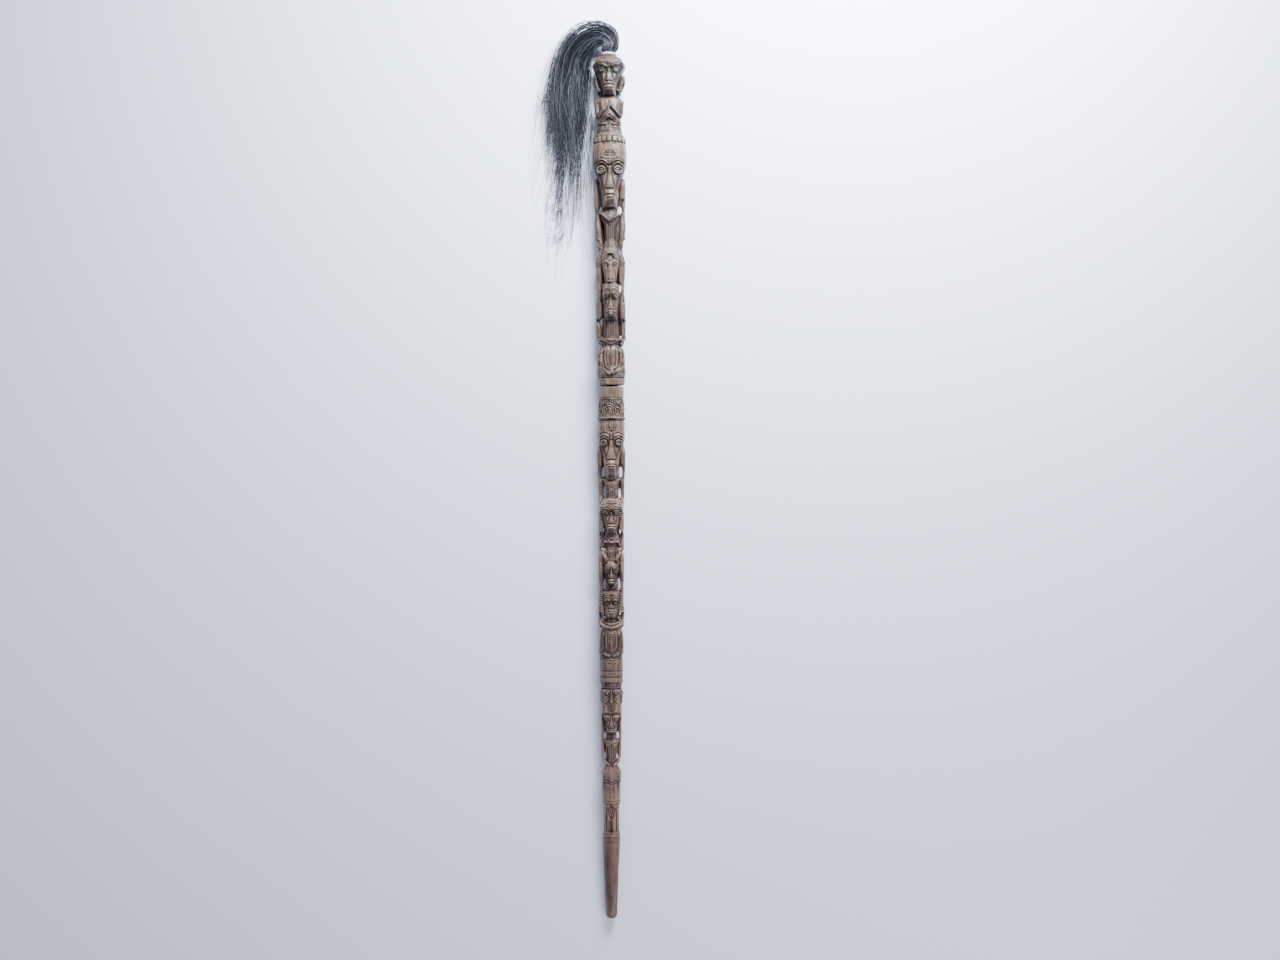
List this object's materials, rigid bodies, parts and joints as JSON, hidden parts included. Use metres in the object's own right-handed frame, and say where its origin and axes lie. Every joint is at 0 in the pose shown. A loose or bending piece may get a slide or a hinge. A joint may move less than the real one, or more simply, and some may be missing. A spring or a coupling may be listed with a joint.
{
  "type": "carved shaman staff",
  "caption": "Tall wooden ritual staff in two carved sections of stacked figures and faces, with a plain round foot and a plume of black hair bound to its crown.",
  "frame": {"origin": "on the flat that the staff rests on, under the middle of the cuff at the joint", "axes": "+Y along the staff towards its head, +Z out of the floor towards the side that the faces look to, +X to the staff's right as seen from in front"},
  "size_m": [0.1935, 1.8566, 0.0695],
  "materials": {
    "wood": "dark, weathered, hand-rubbed",
    "hair": "coarse black hair",
    "cord": "pale dry cord"
  },
  "bodies": {
    "root": {"lower_staff": "wood", "upper_staff": "wood", "hair_tuft": "hair", "tuft_binding": "cord"}
  },
  "joints": []
}
